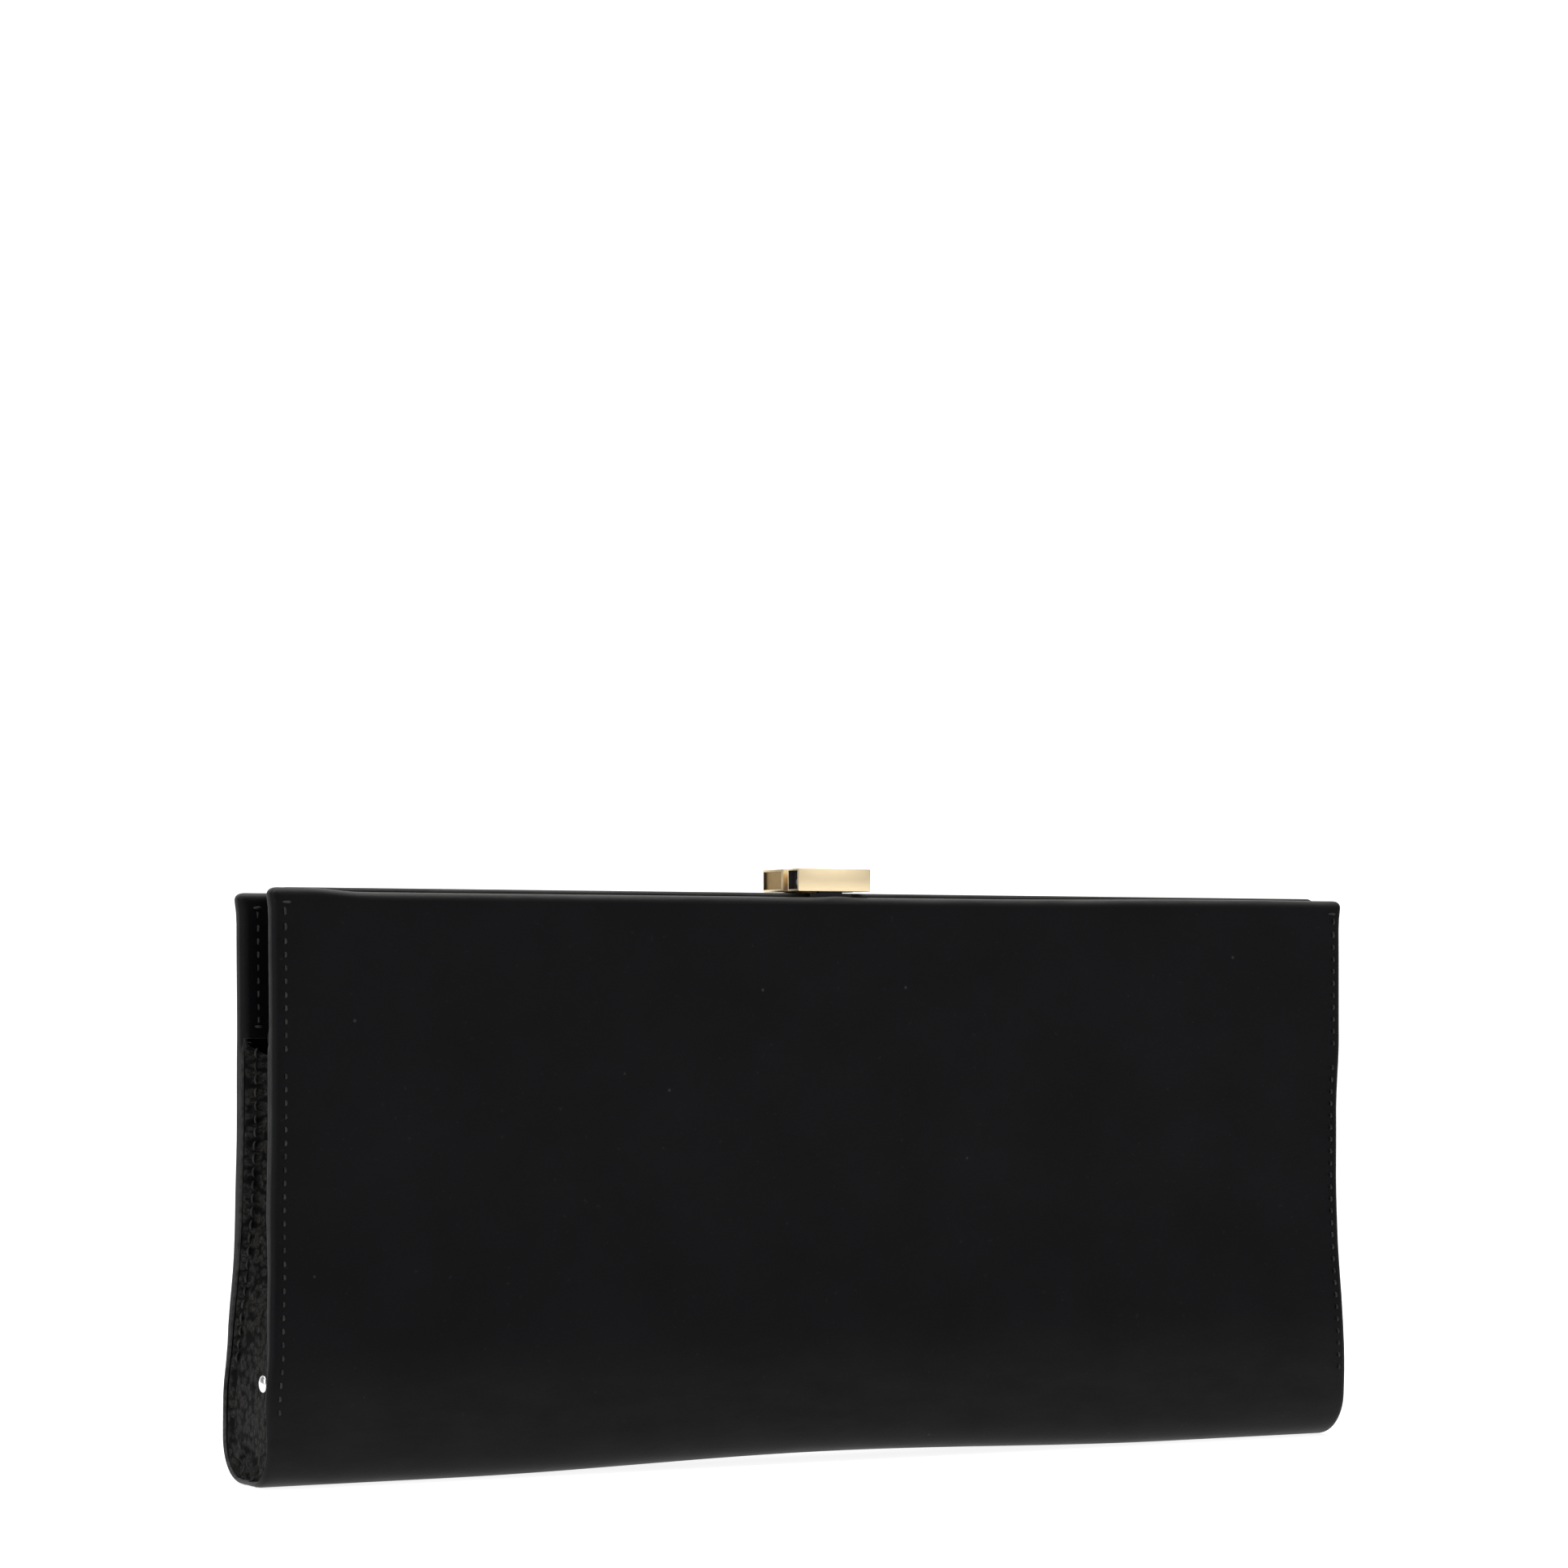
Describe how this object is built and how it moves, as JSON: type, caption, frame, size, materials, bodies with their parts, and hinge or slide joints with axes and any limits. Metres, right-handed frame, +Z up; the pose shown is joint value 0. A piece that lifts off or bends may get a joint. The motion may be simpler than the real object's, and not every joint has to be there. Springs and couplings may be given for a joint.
{
  "type": "clutch purse",
  "caption": "Long smooth leather clutch with a rounded bottom, folded end gussets, a leather-covered hinged frame and a bar clasp on top.",
  "frame": {"origin": "middle of the surface that the purse stands on, under the middle of its body", "axes": "+X along the purse to its right end, -Y to the front, +Z up to the frame and clasp"},
  "size_m": [0.28, 0.0284, 0.1371],
  "materials": {
    "outer_leather": "smooth semi-matte black calf leather",
    "frame_leather": "smooth black leather over the frame",
    "gusset_leather": "grained dark leather",
    "facing_leather": "thin black leather",
    "board": "pressed fibre board",
    "lining": "black twill lining",
    "steel": "nickel plated steel",
    "gold_metal": "polished pale gold plating"
  },
  "bodies": {
    "pouch": {"outer_leather": "outer_leather", "front_board": "board", "rear_board": "board", "base_board": "board", "lining": "lining", "slip_pocket": "lining", "gusset_left": "gusset_leather", "gusset_right": "gusset_leather", "gusset_rivet_left": "steel", "gusset_rivet_right": "steel"},
    "front_half": {"front_frame": "steel", "front_frame_cover": "frame_leather", "front_panel_top": "outer_leather", "front_top_core": "board", "front_facing": "facing_leather", "clasp_bracket": "gold_metal", "bracket_rivets": "steel", "hinge_pin_left": "steel", "hinge_pin_right": "steel"},
    "rear_half": {"rear_frame": "steel", "rear_frame_cover": "frame_leather", "rear_panel_top": "outer_leather", "rear_top_core": "board", "rear_facing": "facing_leather", "clasp_keeper": "gold_metal", "keeper_rivets": "steel"},
    "clasp_lever": {"lever_bar": "gold_metal", "lever_pin": "steel", "lever_spring": "steel"}
  },
  "joints": [
    {"name": "front_open", "type": "hinge", "parent": "pouch", "child": "front_half", "pos_m": [0, 0, 0.098], "axis": [1, 0, 0], "range_deg": [0, 40]},
    {"name": "rear_open", "type": "hinge", "parent": "pouch", "child": "rear_half", "pos_m": [0, 0, 0.098], "axis": [1, 0, 0], "range_deg": [-40, 0]},
    {"name": "lever_lift", "type": "hinge", "parent": "front_half", "child": "clasp_lever", "pos_m": [0, -0.00625, 0.1339], "axis": [1, 0, 0], "range_deg": [0, 12], "stiffness_Nm_per_rad": 0.02, "springref_deg": -11.46}
  ],
  "couplings": [
    {"joint": "rear_open", "follows": "front_open", "ratio": -1}
  ]
}
